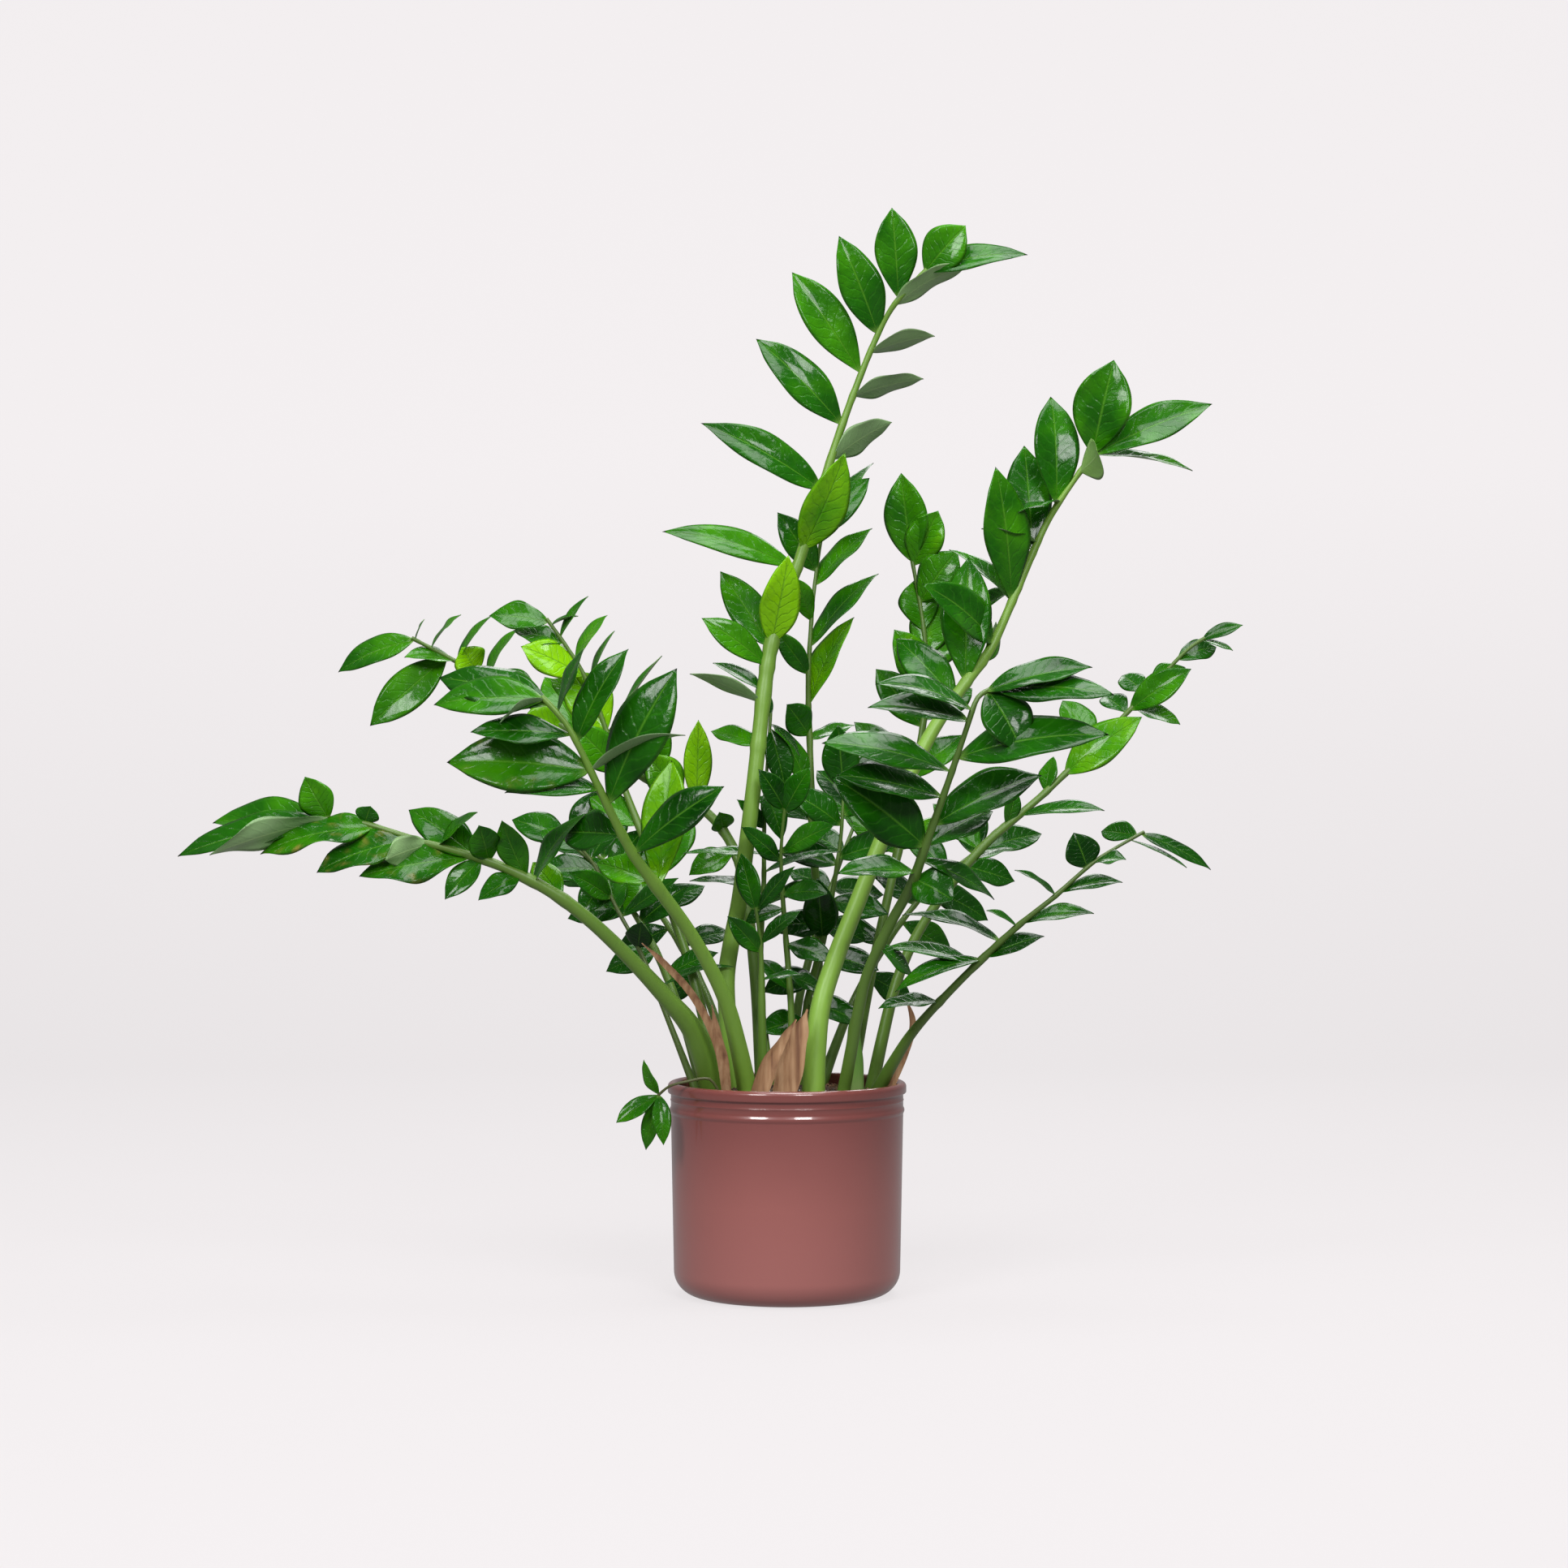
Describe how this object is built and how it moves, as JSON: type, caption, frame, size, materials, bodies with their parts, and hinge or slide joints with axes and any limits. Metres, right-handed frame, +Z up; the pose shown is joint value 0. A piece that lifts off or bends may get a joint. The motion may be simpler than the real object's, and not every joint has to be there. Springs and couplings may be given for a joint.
{
  "type": "potted zz plant",
  "caption": "Tall potted ZZ plant: arching pinnate fronds of glossy leaflets rising from potting mix in a glazed cylinder pot with a banded rim.",
  "frame": {"origin": "centre of the pot's flat base, on the surface it stands on", "axes": "+Z up, -Y towards the front of the plant as it is usually seen, +X to the right"},
  "size_m": [1.0476, 0.5362, 1.0783],
  "materials": {
    "glaze": "glossy dusty-rose glaze",
    "potting_mix": "loose dark bark and peat granules",
    "leaf_green": "waxy deep green leaflets on paler green canes",
    "dry_sheath": "dry papery brown with long streaks",
    "shoot_green": "smooth young green"
  },
  "bodies": {
    "root": {"pot": "glaze", "potting_soil": "potting_mix", "new_shoot": "shoot_green", "frond_tall_centre": "leaf_green", "frond_slim_centre": "leaf_green", "frond_right_tall": "leaf_green", "frond_front_right": "leaf_green", "frond_mid_right": "leaf_green", "frond_right_arch": "leaf_green", "frond_right_low": "leaf_green", "frond_left_low": "leaf_green", "frond_left_mid": "leaf_green", "frond_left_back_upper": "leaf_green", "frond_left_back_lower": "leaf_green", "frond_thin_left": "leaf_green", "frond_centre_thin": "leaf_green", "frond_centre_front": "leaf_green", "frond_centre_short": "leaf_green", "frond_centre_back": "leaf_green", "frond_left_inner": "leaf_green", "frond_back_centre": "leaf_green", "frond_back_left": "leaf_green", "frond_back_right": "leaf_green", "rim_sprig": "leaf_green", "dry_sheath_front": "dry_sheath", "dry_sheath_inner": "dry_sheath", "dry_sheath_long": "dry_sheath", "dry_sheath_left": "dry_sheath", "dry_sheath_right": "dry_sheath"}
  },
  "joints": []
}
